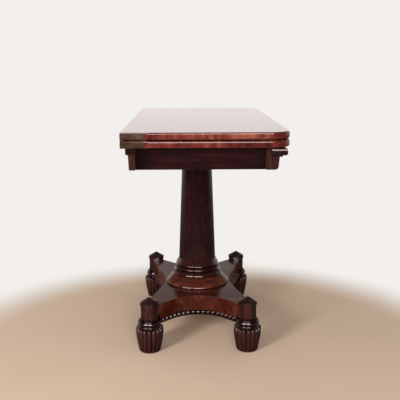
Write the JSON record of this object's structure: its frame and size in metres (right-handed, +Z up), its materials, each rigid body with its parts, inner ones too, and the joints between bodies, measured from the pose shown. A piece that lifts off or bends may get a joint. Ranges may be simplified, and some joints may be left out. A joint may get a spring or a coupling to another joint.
{
  "type": "fold-over games table",
  "caption": "Period games table with a folding, swivelling top over a card well, on a tapered column, hollow-sided platform, octagonal posts and reeded feet.",
  "frame": {"origin": "on the floor under the middle of the closed top", "axes": "+Z up, +X along the top to the right as seen from the front, -Y to the front with the rolled moulding"},
  "size_m": [0.9226, 0.462, 0.72],
  "materials": {
    "rosewood": "french polished, dark",
    "veneer": "french polished, figured",
    "pine": "planed, unpolished",
    "beech": "planed, unpolished",
    "brass": "tarnished",
    "iron": "forged, blackened",
    "baize": "napped wool"
  },
  "bodies": {
    "stand": {"back_board": "rosewood", "back_lip": "rosewood", "column": "rosewood", "column_base": "rosewood", "column_bearer": "beech", "column_collar": "rosewood", "corner_block_back_left": "pine", "corner_block_back_right": "pine", "corner_block_front_left": "pine", "corner_block_front_right": "pine", "corner_post_back_left": "rosewood", "corner_post_back_right": "rosewood", "corner_post_front_left": "rosewood", "corner_post_front_right": "rosewood", "end_rail_left": "rosewood", "end_rail_right": "rosewood", "foot_back_left": "rosewood", "foot_back_right": "rosewood", "foot_front_left": "rosewood", "foot_front_right": "rosewood", "front_board": "rosewood", "gadroon_back": "rosewood", "gadroon_front": "rosewood", "gadroon_left": "rosewood", "gadroon_right": "rosewood", "pivot_rail": "beech", "platform": "veneer", "post_cap_back_left": "rosewood", "post_cap_back_right": "rosewood", "post_cap_front_left": "rosewood", "post_cap_front_right": "rosewood", "roll_moulding": "rosewood", "underboard": "pine", "well_floor_left": "pine", "well_floor_right": "pine"},
    "lower_top": {"lower_leaf": "veneer", "lower_baize": "baize", "lower_hinge_plate_left": "brass", "lower_hinge_plate_right": "brass", "stop_peg": "beech", "pivot_plate": "iron", "pivot_bolt": "iron", "pivot_washer": "iron", "pivot_nut": "iron"},
    "hinge_links": {"hinge_link_left": "brass", "hinge_link_right": "brass", "lower_hinge_pin_left": "brass", "lower_hinge_pin_right": "brass", "upper_hinge_pin_left": "brass", "upper_hinge_pin_right": "brass"},
    "upper_top": {"upper_leaf": "veneer", "upper_baize": "baize", "upper_hinge_plate_left": "brass", "upper_hinge_plate_right": "brass"}
  },
  "joints": [
    {"name": "top_swivel", "type": "hinge", "parent": "stand", "child": "lower_top", "pos_m": [0.1155, 0.1155, 0.6776], "axis": [0, 0, 1], "range_deg": [0, 90]},
    {"name": "link_fold", "type": "hinge", "parent": "lower_top", "child": "hinge_links", "pos_m": [0, 0.2252, 0.6927], "axis": [-1, 0, 0], "range_deg": [0, 90]},
    {"name": "leaf_fold", "type": "hinge", "parent": "hinge_links", "child": "upper_top", "pos_m": [0, 0.2252, 0.7049], "axis": [-1, 0, 0], "range_deg": [0, 90]}
  ],
  "couplings": [
    {"joint": "leaf_fold", "follows": "link_fold", "ratio": 1}
  ]
}
